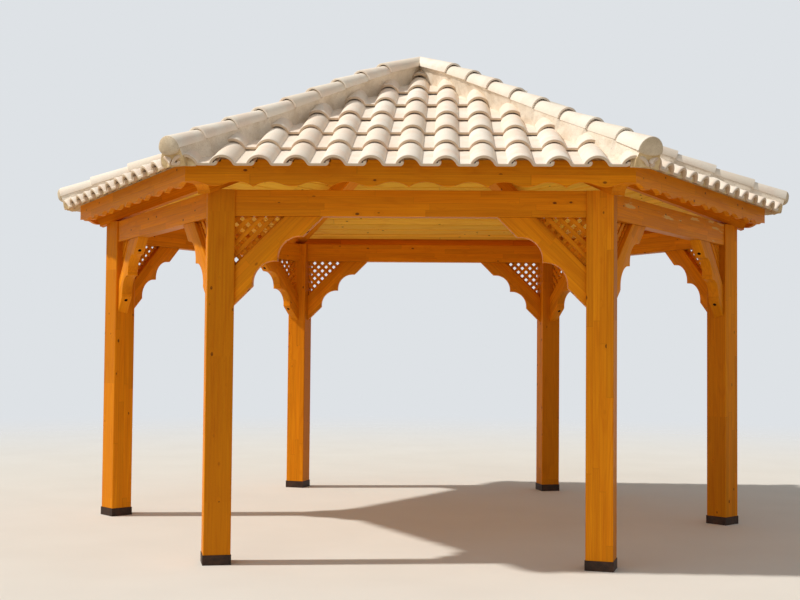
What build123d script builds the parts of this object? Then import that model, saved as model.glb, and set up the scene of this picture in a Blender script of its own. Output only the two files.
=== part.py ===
"""Hexagonal garden gazebo: six timber posts, ring beams, knee braces and a tiled hip roof.

Millimetres, +Z up. The origin is on the ground at the middle of the plan, and the front bay
faces -Y. Angles are degrees round the plan, from +X towards +Y.
"""
import os
from math import atan, ceil, cos, degrees, radians, sin, sqrt, tan

from build123d import *

# Plan
post_circle = 2250.0  # radius through the middles of the posts
sides = 6

# Clearance between pieces that are seated on each other
seat_gap = 0.3
# A piece that is cut to its neighbour is first drawn this much too long
trim = 1.0

# Posts and their steel shoes
post_side = 160.0
post_turn = 45.0  # degrees, so that one corner of each post faces outwards
post_top = 2195.0
post_arris = 4.0
shoe_height = 58.0
shoe_wall = 3.0
shoe_floor = 5.0

# Ring beams, flush with the tops of the posts
beam_height = 155.0
beam_thickness = 90.0
beam_arris = 3.0

# Knee braces: planks between post and beam, with two quarter-round bites in the lower edge
brace_inner_leg = 305.0  # from the corner to the upper edge, along post or beam
brace_outer_leg = 527.0  # from the corner to the lower edge, along post or beam
brace_thickness = 75.0
brace_end = 115.0  # height of the straight stretch at each end
brace_step = 20.0  # small step between the straight stretch and the bite
bite_radius = 130.0

# Diagonal lattice in the corners above the braces
strip_width = 26.0
strip_thickness = 8.0
strip_pitch = 48.8

# Roof
roof_pitch = 23.2  # degrees, measured square to the eaves
board_thickness = 22.0
bed_thickness = 56.0  # from the boards to the undersides of the tile noses
tile_depth = 66.0  # from under the pans to the top of the rolls
tile_overhang = 107.0  # level distance from the fascia to the lowest tile noses

# Hip rafters and the boss at the middle of the roof
rafter_width = 95.0
rafter_drop = 150.0  # plumb depth below the ceiling line
rafter_seat = 55.0  # from the middle of the post out to where the underside meets its top
tail_length = 150.0  # from the middle of the post out to the cut in the tail
tail_round = 55.0
boss_apothem = 95.0
boss_drop = 60.0  # how far the boss hangs below the rafters
boss_chamfer = 30.0

# Fascia with a scalloped lower edge
fascia_overhang = 271.4  # from the middle of the beams to its outer face
fascia_thickness = 30.0
fascia_depth = 103.0  # from the top edge to the tops of the arches
fascia_clearance = 14.0  # from the top edge to the undersides of the tiles
scallop_half = 223.3  # from a sharp point to the middle of a round lobe
arch_offset = 95.0  # from a sharp point to the top of the arch beside it
lobe_drop = 26.0

# Hip tiles bedded on the tile rolls, with a domed end at the eaves corner
hip_radius = 75.0
hip_rise = 100.0  # from the line of the roll tops to the top of the hip tiles
hip_bed_half = 108.0
hip_bed_lip = 6.0
hip_setback = 31.0  # level distance from the eaves corner in to the start of the dome
hip_dome = 40.0

# Worked out
half_angle = 180.0 / sides
brace_turn = 45.0  # degrees, because both legs of a brace are alike
arc_middle = sqrt(0.5)  # both coordinates of the middle of a quarter-round of radius 1
plan_apothem = post_circle * cos(radians(half_angle))
half_bay = post_circle * sin(radians(half_angle))
slope = tan(radians(roof_pitch))
hip_slope = slope * cos(radians(half_angle))
hip_pitch = degrees(atan(hip_slope))
beam_bottom = post_top - beam_height
# Where the roof's planes would meet over the middle, from the undersides of the rafters upwards
under_peak = post_top + hip_slope * (post_circle + rafter_seat)
ceiling_peak = under_peak + rafter_drop
deck_peak = ceiling_peak + board_thickness / cos(radians(roof_pitch))
nose_plane_peak = deck_peak + bed_thickness / cos(radians(roof_pitch))
roll_peak = nose_plane_peak + tile_depth / cos(radians(roof_pitch))
# Distances from the middle, square to the eaves
fascia_apothem = plan_apothem + fascia_overhang
board_edge = fascia_apothem - fascia_thickness - seat_gap
tile_eave = fascia_apothem + tile_overhang
nose_out = tile_eave + tile_depth * sin(radians(roof_pitch))
# Heights of the fascia
fascia_top = nose_plane_peak - slope * fascia_apothem - fascia_clearance
fascia_bottom = fascia_top - fascia_depth
hip_end = nose_out / cos(radians(half_angle)) - hip_setback
# The post's face leans away from square to the bay by this much
face_lean = post_turn - half_angle
face_distance = post_side / 2 / cos(radians(face_lean))
post_room = post_side + 2 * seat_gap
shoe_side = post_room + 2 * shoe_wall

post_angles = {
    "right": 0,
    "back_right": 60,
    "back_left": 120,
    "left": 180,
    "front_left": 240,
    "front_right": 300,
}
bay_angles = {
    "back_right": 30,
    "back": 90,
    "back_left": 150,
    "front_left": 210,
    "front": 270,
    "front_right": 330,
}


def polar(radius, angle, height=0.0):
    return Vector(radius * cos(radians(angle)), radius * sin(radians(angle)), height)


def bay_plane(angle, distance):
    """Upright plane facing outwards: local x runs along the bay and local y is up."""
    return Plane(origin=polar(distance, angle), x_dir=polar(1, angle + 90), z_dir=polar(1, angle))


def hip_plane(angle):
    """Upright plane through the axis: local x runs outwards and local y is up."""
    return Plane(origin=(0, 0, 0), x_dir=polar(1, angle), z_dir=polar(1, angle - 90))


def roof_plane(angle, peak):
    """Sloping plane through the axis at height peak, falling towards angle."""
    normal = polar(sin(radians(roof_pitch)), angle, cos(radians(roof_pitch)))
    return Plane(origin=(0, 0, peak), z_dir=normal)


def post_face(post_angle, side):
    """Plane just off the face of a post that a bay's timber meets, facing the bay."""
    face_angle = post_angle + side * (180 - post_turn)
    centre = polar(post_circle, post_angle)
    return Plane(origin=centre + polar(post_side / 2 + seat_gap, face_angle), z_dir=polar(1, face_angle))


def bay_corners(angle):
    """The post faces at the two ends of a bay."""
    return post_face(angle - half_angle, 1), post_face(angle + half_angle, -1)


def sector_sides(angle):
    """Upright planes just inside the two sides of a sector of the roof, both facing into it."""
    planes = []
    for side in (-1, 1):
        inwards = polar(1, angle + side * (half_angle - 90))
        planes.append(Plane(origin=inwards * (seat_gap / 2), z_dir=inwards))
    return planes


def sector_points(angle, outer):
    """Triangle of one roof slope in plan, parted from its neighbours by the seat gap."""
    half_width = (outer - seat_gap) * tan(radians(half_angle))
    tip = polar(seat_gap, angle)
    across = polar(half_width, angle + 90)
    return [tip, polar(outer, angle) - across, polar(outer, angle) + across]


def make_post(angle):
    with BuildPart() as post:
        with BuildSketch(Plane(origin=polar(post_circle, angle, shoe_floor + seat_gap))):
            Rectangle(post_side, post_side, rotation=angle + post_turn)
        extrude(amount=post_top - shoe_floor - seat_gap)
        chamfer(post.edges().filter_by(Axis.Z), length=post_arris)
    return post


def make_shoes():
    with BuildPart() as shoes:
        for angle in post_angles.values():
            with BuildSketch(Plane(origin=polar(post_circle, angle))):
                Rectangle(shoe_side, shoe_side, rotation=angle + post_turn)
            extrude(amount=shoe_height)
            with BuildSketch(Plane(origin=polar(post_circle, angle, shoe_floor))):
                Rectangle(post_room, post_room, rotation=angle + post_turn)
            extrude(amount=shoe_height, mode=Mode.SUBTRACT)
    return shoes


def make_beam(angle):
    with BuildPart() as beam:
        with BuildSketch(bay_plane(angle, plan_apothem)):
            with Locations((0, beam_bottom + beam_height / 2)):
                Rectangle(2 * half_bay, beam_height)
        extrude(amount=beam_thickness / 2, both=True)
        for face in bay_corners(angle):
            split(bisect_by=face, keep=Keep.TOP)
        chamfer(beam.edges().filter_by(Axis((0, 0, 0), polar(1, angle + 90))), length=beam_arris)
    return beam


def brace_outline(side):
    """Outline of one knee brace, side -1 or 1, run past the post's face to be cut to it."""
    corner_x = half_bay - face_distance
    over = brace_thickness / 2 * tan(radians(face_lean)) + trim

    def at(along, down):
        return (side * (corner_x - along), beam_bottom - seat_gap - down)

    bite_start = brace_outer_leg - brace_end - brace_step
    cusp = bite_start - bite_radius
    inner = brace_end + bite_radius
    diagonal = bite_radius * arc_middle
    Polyline(
        at(inner, cusp),
        at(cusp, cusp),
        at(cusp, inner),
    )
    ThreePointArc(
        at(cusp, inner),
        at(bite_start - diagonal, inner - diagonal),
        at(bite_start, brace_end),
    )
    Polyline(
        at(bite_start, brace_end),
        at(bite_start + brace_step, brace_end),
        at(brace_outer_leg, 0),
        at(brace_inner_leg, 0),
        at(-over, brace_inner_leg + over),
        at(-over, brace_outer_leg + over),
        at(brace_end, bite_start + brace_step),
        at(brace_end, bite_start),
    )
    ThreePointArc(
        at(brace_end, bite_start),
        at(inner - diagonal, bite_start - diagonal),
        at(inner, cusp),
    )


def make_braces(angle):
    with BuildPart() as braces:
        for side in (-1, 1):
            with BuildSketch(bay_plane(angle, plan_apothem)):
                with BuildLine():
                    brace_outline(side)
                make_face()
            extrude(amount=brace_thickness / 2, both=True)
        for face in bay_corners(angle):
            split(bisect_by=face, keep=Keep.TOP)
    return braces


def lattice_layer(angle, side, distance, along_brace):
    """Sketch of one layer of strips of a lattice corner, cut to the triangle that it fills."""
    corner_x = half_bay - face_distance
    over = strip_thickness * tan(radians(face_lean)) + trim
    top = beam_bottom - seat_gap
    leg = brace_inner_leg - seat_gap / sin(radians(brace_turn))
    reach = leg * sin(radians(brace_turn))
    strip_length = 3 * reach
    count = ceil(reach / strip_pitch)
    first = 0 if along_brace else -count
    with BuildSketch(bay_plane(angle, distance)) as layer:
        for number in range(first, count + 1):
            if along_brace:
                across = (reach - number * strip_pitch) * cos(radians(brace_turn))
                down = (reach - number * strip_pitch) * sin(radians(brace_turn))
                turn = -side * brace_turn
            else:
                across = (reach / 2 + number * strip_pitch) * cos(radians(brace_turn))
                down = (reach / 2 - number * strip_pitch) * sin(radians(brace_turn))
                turn = side * brace_turn
            with Locations((side * (corner_x - across), top - down)):
                Rectangle(strip_length, strip_width, rotation=turn)
        with BuildLine():
            Polyline(
                (side * (corner_x + over), top),
                (side * (corner_x - leg), top),
                (side * (corner_x + over), top - leg - over),
                close=True,
            )
        make_face(mode=Mode.INTERSECT)
    return layer.sketch


def make_lattices(angle):
    with BuildPart() as lattices:
        for side in (-1, 1):
            outer_layer = lattice_layer(angle, side, plan_apothem, True)
            extrude(outer_layer, amount=strip_thickness)
            inner_layer = lattice_layer(angle, side, plan_apothem - strip_thickness, False)
            extrude(inner_layer, amount=strip_thickness)
        for face in bay_corners(angle):
            split(bisect_by=face, keep=Keep.TOP)
    return lattices


def hip_height(peak, radius):
    """Height of a roof plane with this peak at a distance out along a hip."""
    return peak - hip_slope * radius


def rafter_side(angle):
    """Side view of a hip rafter, with its rounded tail under the slim end."""
    tail = post_circle + tail_length
    tail_end = board_edge / cos(radians(half_angle))
    inner = boss_apothem + seat_gap
    tail_low = hip_height(under_peak, tail)
    tail_rise = fascia_bottom - tail_low
    with BuildSketch(hip_plane(angle)) as side_view:
        with BuildLine():
            Polyline(
                (inner, hip_height(ceiling_peak, inner)),
                (inner, hip_height(under_peak, inner)),
                (tail, tail_low),
            )
            ThreePointArc(
                (tail, tail_low),
                (tail + tail_round * (1 - arc_middle), tail_low + tail_rise * arc_middle),
                (tail + tail_round, fascia_bottom),
            )
            Polyline(
                (tail + tail_round, fascia_bottom),
                (tail_end, fascia_bottom),
                (tail_end, hip_height(ceiling_peak, tail_end)),
                (inner, hip_height(ceiling_peak, inner)),
            )
        make_face()
    return side_view.sketch


def make_rafter(angle):
    with BuildPart() as rafter:
        extrude(rafter_side(angle), amount=rafter_width / 2, both=True)
        for slope_angle in (angle - half_angle, angle + half_angle):
            split(bisect_by=roof_plane(slope_angle, ceiling_peak - seat_gap), keep=Keep.BOTTOM)
            split(bisect_by=bay_plane(slope_angle, board_edge), keep=Keep.BOTTOM)
        with BuildSketch(Plane(origin=polar(post_circle, angle, beam_bottom))):
            Rectangle(post_room, post_room, rotation=angle + post_turn)
        extrude(amount=beam_height + seat_gap, mode=Mode.SUBTRACT)
    return rafter


def make_boss():
    corner = boss_apothem / cos(radians(half_angle))
    top = ceiling_peak - slope * corner - seat_gap
    bottom = hip_height(under_peak, boss_apothem) - boss_drop
    with BuildPart() as boss:
        with BuildSketch(Plane.XY.offset(bottom)):
            RegularPolygon(radius=corner, side_count=sides, rotation=half_angle)
        extrude(amount=top - bottom)
        chamfer(boss.faces().sort_by(Axis.Z)[0].edges(), length=boss_chamfer)
    return boss


def make_ceiling(angle):
    low = ceiling_peak - slope * board_edge
    with BuildPart() as ceiling:
        with BuildSketch(Plane.XY.offset(low)):
            with BuildLine():
                Polyline(*sector_points(angle, board_edge), close=True)
            make_face()
        extrude(amount=deck_peak - low)
        split(bisect_by=roof_plane(angle, ceiling_peak), keep=Keep.TOP)
        split(bisect_by=roof_plane(angle, deck_peak), keep=Keep.BOTTOM)
    return ceiling


def scallop_line(reach):
    """Lower edge of the fascia: sharp points, arches and round lobes, out to reach."""
    pitch = 2 * scallop_half
    lobe_side = scallop_half - arch_offset
    radius = (lobe_side**2 + lobe_drop**2) / (4 * lobe_drop)
    point_drop = radius - sqrt(radius**2 - arch_offset**2)
    turn_x = arch_offset + lobe_side / 2
    turn_z = fascia_bottom - lobe_drop / 2
    count = ceil(reach / pitch)
    for number in range(-count, count):
        start = number * pitch
        left = (start, fascia_bottom - point_drop)
        right = (start + pitch, fascia_bottom - point_drop)
        ThreePointArc(left, (start + arch_offset, fascia_bottom), (start + turn_x, turn_z))
        ThreePointArc(
            (start + turn_x, turn_z),
            (start + scallop_half, fascia_bottom - lobe_drop),
            (start + pitch - turn_x, turn_z),
        )
        ThreePointArc((start + pitch - turn_x, turn_z), (start + pitch - arch_offset, fascia_bottom), right)
    end = count * pitch
    Polyline(
        (end, fascia_bottom - point_drop),
        (end, fascia_top),
        (-end, fascia_top),
        (-end, fascia_bottom - point_drop),
    )


def make_fascia(angle):
    with BuildPart() as fascia:
        with BuildSketch(bay_plane(angle, fascia_apothem)):
            with BuildLine():
                scallop_line(fascia_apothem * tan(radians(half_angle)))
            make_face()
        extrude(amount=-fascia_thickness)
        for mitre in sector_sides(angle):
            split(bisect_by=mitre, keep=Keep.TOP)
    return fascia


def make_tiles(angle):
    """One tiled slope as a slab with the bedding under it, thin where it overhangs the fascia."""
    nose_low = nose_plane_peak - slope * tile_eave
    nose_high = nose_low + tile_depth * cos(radians(roof_pitch))
    with BuildPart() as tiles:
        with BuildSketch(hip_plane(angle)):
            with BuildLine():
                Polyline(
                    (0, deck_peak + seat_gap),
                    (board_edge, deck_peak + seat_gap - slope * board_edge),
                    (board_edge, nose_plane_peak - slope * board_edge),
                    (tile_eave, nose_low),
                    (nose_out, nose_high),
                    (0, roll_peak),
                    close=True,
                )
            make_face()
        extrude(amount=nose_out, both=True)
        for mitre in sector_sides(angle):
            split(bisect_by=mitre, keep=Keep.TOP)
    return tiles


def make_hip(angle):
    """One run of hip tiles with its mortar bed and domed end, cut to the slopes on both sides."""
    along = polar(cos(radians(hip_pitch)), angle, -sin(radians(hip_pitch)))
    lateral = polar(1, angle + 90)
    section = Plane(origin=(0, 0, roll_peak), x_dir=lateral, z_dir=along)
    length = hip_end / cos(radians(hip_pitch))
    centre_height = hip_rise - hip_radius
    bed_fall = hip_bed_half * slope * sin(radians(half_angle)) * cos(radians(hip_pitch))
    end_centre = section.origin + along * length + section.y_dir * centre_height
    dome_plane = Plane(origin=end_centre, x_dir=along, z_dir=lateral)
    # The run starts above the middle so that its mitred top reaches the axis
    lead = hip_rise
    start = Plane(origin=section.origin - along * lead, x_dir=lateral, z_dir=along)
    with BuildPart() as hip:
        with BuildSketch(start):
            with BuildLine():
                Polyline(
                    (0, centre_height + hip_radius),
                    (0, -bed_fall - hip_bed_lip),
                    (hip_bed_half, -bed_fall - hip_bed_lip),
                    (hip_bed_half, -bed_fall + hip_bed_lip),
                    (hip_radius, centre_height),
                )
                RadiusArc((hip_radius, centre_height), (0, centre_height + hip_radius), -hip_radius)
            make_face()
        extrude(amount=length + lead)
        with BuildSketch(dome_plane):
            with BuildLine():
                EllipticalCenterArc((0, 0), hip_dome, hip_radius, start_angle=0, arc_size=90)
                Polyline((0, hip_radius), (0, 0), (hip_dome, 0))
            make_face()
        revolve(axis=Axis(end_centre, along))
        split(bisect_by=Plane(origin=(0, 0, 0), z_dir=lateral), keep=Keep.TOP)
        split(bisect_by=roof_plane(angle + half_angle, roll_peak + seat_gap), keep=Keep.TOP)
        split(bisect_by=sector_sides(angle)[1], keep=Keep.TOP)
        mirror(about=hip_plane(angle))
    return hip


def save(builder, label):
    builder.part.label = label
    export_step(builder.part, f"parts/{label}.step")


os.makedirs("parts", exist_ok=True)

for place, angle in post_angles.items():
    save(make_post(angle), f"post_{place}")
save(make_shoes(), "post_shoes")

for place, angle in bay_angles.items():
    save(make_beam(angle), f"beam_{place}")
    save(make_braces(angle), f"braces_{place}")
    save(make_lattices(angle), f"lattice_{place}")
    save(make_ceiling(angle), f"ceiling_{place}")
    save(make_fascia(angle), f"fascia_{place}")
    save(make_tiles(angle), f"tiles_{place}")

with BuildPart() as rafters:
    for angle in post_angles.values():
        add(make_rafter(angle).part)
save(rafters, "hip_rafters")
save(make_boss(), "roof_boss")

with BuildPart() as hips:
    for angle in post_angles.values():
        add(make_hip(angle).part)
save(hips, "hip_tiles")
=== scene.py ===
"""Looks of a hexagonal garden gazebo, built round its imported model.

Metres, +Z up. The front bay faces -Y. What repeats round the plan is built in the front bay, or
along +X for a hip, and then turned into place. Angles are degrees from +X towards +Y.
"""
import math
import random

import bmesh
import bpy
from mathutils import Matrix, Vector, noise


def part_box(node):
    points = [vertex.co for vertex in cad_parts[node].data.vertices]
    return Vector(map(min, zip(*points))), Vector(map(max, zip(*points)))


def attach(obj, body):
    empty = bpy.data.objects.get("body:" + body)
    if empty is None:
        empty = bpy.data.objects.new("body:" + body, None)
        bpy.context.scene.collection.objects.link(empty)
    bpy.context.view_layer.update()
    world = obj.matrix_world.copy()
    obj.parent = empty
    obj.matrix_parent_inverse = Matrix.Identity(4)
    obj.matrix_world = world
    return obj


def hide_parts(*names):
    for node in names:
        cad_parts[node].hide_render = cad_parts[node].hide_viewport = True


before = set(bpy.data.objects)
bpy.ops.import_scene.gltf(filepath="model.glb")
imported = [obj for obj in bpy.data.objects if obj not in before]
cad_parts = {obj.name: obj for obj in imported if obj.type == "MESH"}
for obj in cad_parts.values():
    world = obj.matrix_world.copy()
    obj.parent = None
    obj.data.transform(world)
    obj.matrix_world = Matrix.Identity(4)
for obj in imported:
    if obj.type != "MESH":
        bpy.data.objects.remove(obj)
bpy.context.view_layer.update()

post_angles = {
    "right": 0,
    "back_right": 60,
    "back_left": 120,
    "left": 180,
    "front_left": 240,
    "front_right": 300,
}
bay_angles = {
    "back_right": 30,
    "back": 90,
    "back_left": 150,
    "front_left": 210,
    "front": 270,
    "front_right": 330,
}
front_angle = 270

# Places read from the frame
beam_low, beam_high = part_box("beam_front")
fascia_low, fascia_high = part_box("fascia_front")
ceiling_low, ceiling_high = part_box("ceiling_front")
tiles_low, tiles_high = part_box("tiles_front")
post_low, post_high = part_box("post_right")
plan_apothem = -(beam_low.y + beam_high.y) / 2
beam_bottom = beam_low.z
post_circle = (post_low.x + post_high.x) / 2
fascia_apothem = -fascia_low.y
fascia_back = -fascia_high.y
fascia_top = fascia_high.z
board_edge = -ceiling_low.y
nose_out = -tiles_low.y
roll_peak = tiles_high.z
hip_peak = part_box("hip_tiles")[1].z

# Driving values
half_angle = math.radians(30)
roof_pitch = math.radians(23.2)
hip_pitch = math.atan(math.tan(roof_pitch) * math.cos(half_angle))
seat_gap = 0.0003
post_side = 0.160
post_turn = math.radians(45)
arris = 0.003
diagonal = math.sqrt(0.5)

# Roof tiles: a roll and a flat pan, 13 rolls at the eaves, the middle one over the middle of the bay
tile_depth = 0.066  # from under the pans to the top of the rolls
tile_wall = 0.013
roll_pitch = 0.210
last_column = 6  # rolls on each side of the middle one
roll_radius = 0.074  # of the middle of the wall
roll_foot = 0.0143  # height of the free left foot
fillet_radius = 0.011
pan_end = 0.164
lip_radius = 0.012
lip_height = 0.026
tile_length = 0.460
tile_gauge = 0.3635  # level distance from one course's noses to the next
course_count = 7
# How far each course's noses lie from even spacing, the top course first
course_shifts = (-0.030, -0.025, 0.0, 0.025, 0.030, 0.022, 0.0)
top_tile_lift = 0.006
tile_lap = 0.023  # how far a tile sinks from its nose to the next course's noses
nose_length = 0.025
nose_extra = 0.004  # thickening of the nose
# How far single tiles may lie off their places: along, upwards, turned and across
nose_play, lift_play, turn_play, side_play = 0.002, 0.0008, 0.002, 0.001
tile_inset = 0.006  # from the hip plane to the cut tiles
end_tile_rise = 0.20  # how much the last tile beside a hip rises, for each metre along it
end_tile_reach = 0.10  # from the hip plane to the nose of the tile that rises
plug_setback = 0.016  # of the mortar in the rolls from the lowest noses
tooth_height = 0.012  # of the board that closes the front rolls
tooth_setback = 0.012  # of the mortar over it
back_share = 0.2  # of a setback, at the back of a filler
filler_gap = 0.0008  # under the tiles

# Hip tiles in mortar
hip_wall = 0.013
hip_low_radius = 0.0745
hip_high_radius = 0.058
hip_tile_length = 0.350
hip_gauge = 0.282
hip_count = 8
top_hip_length = 0.72
top_hip_end = 0.480
top_hip_lap = 0.0004
hip_clearance = 0.0008  # under the line of the hip's top
hip_end = 2.686
hip_lap = 0.022
hip_bulge = 0.034  # how far the run of hip tiles bows up near the peak
# Level distances between which the run bows up and down again, and the mortar changes
bulge_rise, bulge_fall = (-0.20, 0.50), (2.15, 0.55)
foot_spread, foot_end = (0.9, 2.3), (2.53, 2.60)
thin_start, deep_end = (2.42, 2.52), (2.622, 2.645)
mortar_inset = 0.004  # from the hip tiles' edges
mortar_drop = 0.001
mortar_foot = 0.086
mortar_foot_at_peak = 0.012
mortar_foot_at_end = 0.084
mortar_foot_drop = 0.018  # under the pans
mortar_end_height = -0.035  # of the foot at the end
mortar_depth = 0.110
mortar_thinning = 0.045  # over the fascia
mortar_end_depth = 0.018  # gained at the very end
mortar_rows = 230
dome_length = 0.037
flat_domes = {"front_right": 0.012, "back_left": 0.020}
wide_end_radius = 0.086  # of the last hip tile at the flat ends
corner_setback = 0.004  # of the mortar in the last rolls beside a hip

# Knee braces
brace_inner_leg = 0.305
brace_outer_leg = 0.527
brace_thickness = 0.075
brace_end = 0.115
brace_step = 0.020
bite_radius = 0.130
screw_radius = 0.0125
screw_depth = 0.018
screw_share = 0.78  # of the way from the tip along a brace's end face

# Lattices
strip_width = 0.026
strip_thickness = 0.008
strip_pitch = 0.0488

# Ceiling boards
board_width = 0.095
board_thickness = 0.022
board_joint = 0.003
board_bevel = 0.006
board_start = 0.012  # of the first board
board_lamella = 0.12

# Worked out
roof_cos = math.cos(roof_pitch)
roof_sin = math.sin(roof_pitch)
hip_cos = math.cos(hip_pitch)
hip_sin = math.sin(hip_pitch)
nose_half_wall = (tile_wall + nose_extra) / 2
roll_middle = tile_depth - nose_half_wall - roll_radius
fillet_rise = nose_half_wall + fillet_radius - roll_middle
fillet_reach = math.sqrt((roll_radius + fillet_radius) ** 2 - fillet_rise**2)
hip_ends = [top_hip_end + number * hip_gauge for number in range(hip_count)] + [hip_end]
slope = math.tan(roof_pitch)
hip_slope = math.tan(hip_pitch)
nose_plane_peak = roll_peak - tile_depth / roof_cos
last_nose = nose_out - tile_depth * roof_sin
first_nose = last_nose - (course_count - 1) * tile_gauge
deck_peak = ceiling_high.z
ceiling_peak = deck_peak - board_thickness / roof_cos
tile_tilt = tile_lap * roof_cos / tile_gauge
hip_rise = (hip_peak - roll_peak) * hip_cos
# Fall of the line of the roll tops to the side of a hip, and the pans' depth under it
side_fall = slope * math.sin(half_angle) * hip_cos
pan_drop = (tile_depth - tile_wall) * roof_cos / hip_cos
face_lean = post_turn - half_angle
half_bay = plan_apothem * math.tan(half_angle)
corner_x = half_bay - post_side / 2 / math.cos(face_lean)

slope_frame = Matrix((
    (0, 1, 0, 0),
    (-roof_cos, 0, -roof_sin, 0),
    (-roof_sin, 0, roof_cos, nose_plane_peak),
    (0, 0, 0, 1),
))
hip_frame = Matrix((
    (hip_cos, 0, hip_sin, 0),
    (0, 1, 0, 0),
    (-hip_sin, 0, hip_cos, roll_peak),
    (0, 0, 0, 1),
))


def polar(radius, angle, height=0.0):
    """Point at a distance from the axis, in the direction of an angle in radians."""
    return Vector((radius * math.cos(angle), radius * math.sin(angle), height))


def grain_frame(grain, stack, origin):
    """Turn and shift that lays x along the grain and y along the stack, from an origin."""
    axes = Matrix((grain, stack, grain.cross(stack)))
    return axes.to_4x4() @ Matrix.Translation(-origin)


def add_object(name, data):
    made = bpy.data.objects.new(name, data)
    bpy.context.scene.collection.objects.link(made)
    return made


def smooth_step(low, high, value):
    share = min(max((value - low) / (high - low), 0.0), 1.0)
    return share * share * (3 - 2 * share)


# Solids

def rim(grid):
    """Vertices round the edge of a grid, in order."""
    right = [row[-1] for row in grid[1:-1]]
    left = [row[0] for row in grid[1:-1]]
    return grid[0] + right + grid[-1][::-1] + left[::-1]


def slab(top, under):
    """Closed solid between two grids of points with the same rows and columns."""
    part = bmesh.new()
    grids = [[[part.verts.new(point) for point in row] for row in grid] for grid in (top, under)]
    for grid in grids:
        for row, after in zip(grid, grid[1:]):
            for i in range(1, len(row)):
                part.faces.new((row[i - 1], row[i], after[i], after[i - 1]))
    upper, lower = rim(grids[0]), rim(grids[1])
    for i in range(len(upper)):
        part.faces.new((upper[i - 1], upper[i], lower[i], lower[i - 1]))
    return part


def loft(rings):
    """Closed solid through rings of points, from one end to the other."""
    part = bmesh.new()
    rows = [[part.verts.new(point) for point in ring] for ring in rings]
    for row, after in zip(rows, rows[1:]):
        for i in range(len(row)):
            part.faces.new((row[i - 1], row[i], after[i], after[i - 1]))
    part.faces.new(rows[0])
    part.faces.new(rows[-1][::-1])
    return part


def plank(outline, near, far):
    """Solid of a flat outline in x and z, from y near to y far."""
    return loft([[Vector((x, y, z)) for x, z in outline] for y in (near, far)])


def cut(part, point, outwards):
    """Cut away what lies beyond a plane and close the solid again."""
    everything = part.verts[:] + part.edges[:] + part.faces[:]
    bmesh.ops.bisect_plane(
        part, geom=everything, dist=1e-6, plane_co=point, plane_no=outwards, clear_outer=True
    )
    open_edges = [edge for edge in part.edges if edge.is_boundary]
    if open_edges:
        bmesh.ops.holes_fill(part, edges=open_edges, sides=0)


def cut_to_sector(part, inset):
    """Cut a solid of the front slope at the two hip planes, less an inset."""
    for side in (-1, 1):
        outwards = Vector((side * math.cos(half_angle), math.sin(half_angle), 0))
        cut(part, -outwards * inset, outwards)


def post_face(side):
    """Point and direction of the post face that closes the front bay on side -1 or 1."""
    post_angle = math.radians(front_angle) + side * half_angle
    facing = polar(1, post_angle - side * (math.pi - post_turn))
    return polar(post_circle, post_angle) + facing * (post_side / 2 + seat_gap), facing


def ease(part, width, segments=2):
    """Round the sharp edges of a solid."""
    bmesh.ops.recalc_face_normals(part, faces=part.faces)
    sharp = [e for e in part.edges if e.is_manifold and e.calc_face_angle() > math.radians(30)]
    bmesh.ops.bevel(
        part, geom=sharp, offset=width, segments=segments, profile=0.5, affect="EDGES", clamp_overlap=True
    )


class Piece:
    """Mesh that gathers the solids of one piece, each with its own grain and tone."""

    def __init__(self, seed):
        self.mesh = bmesh.new()
        self.grain = self.mesh.verts.layers.float_vector.new("grain")
        self.tone = self.mesh.verts.layers.float.new("tone")
        self.random = random.Random(seed)

    def add(self, part, to_grain=Matrix.Identity(4)):
        """Take in a solid. to_grain turns its points so that x runs along the grain."""
        tone = self.random.random()
        shift = Vector([self.random.uniform(-20, 20) for _ in range(3)])
        part.verts.index_update()
        made = []
        for old in part.verts:
            vertex = self.mesh.verts.new(old.co)
            vertex[self.grain] = to_grain @ old.co + shift
            vertex[self.tone] = tone
            made.append(vertex)
        for face in part.faces:
            copied = self.mesh.faces.new([made[v.index] for v in face.verts])
            copied.material_index = face.material_index
        part.free()

    def finish(self, name, turn, materials, replaced=(), smooth=35):
        """Turn the piece into place and make it an object that rides on the frame."""
        bmesh.ops.recalc_face_normals(self.mesh, faces=self.mesh.faces)
        rotation = Matrix.Rotation(math.radians(turn), 4, "Z")
        bmesh.ops.transform(self.mesh, matrix=rotation, verts=self.mesh.verts)
        mesh = bpy.data.meshes.new(name)
        self.mesh.to_mesh(mesh)
        self.mesh.free()
        mesh.polygons.foreach_set("use_smooth", [True] * len(mesh.polygons))
        mesh.set_sharp_from_angle(angle=math.radians(smooth))
        for material in materials:
            mesh.materials.append(material)
        piece = add_object(name, mesh)
        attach(piece, "root")
        if replaced:
            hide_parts(*replaced)
        return piece


# Materials

def colour(red, green, blue):
    """Linear colour from the usual values between 0 and 255."""
    linear = []
    for value in (red, green, blue):
        share = value / 255
        linear.append(share / 12.92 if share < 0.04045 else ((share + 0.055) / 1.055) ** 2.4)
    return (*linear, 1.0)


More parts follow.
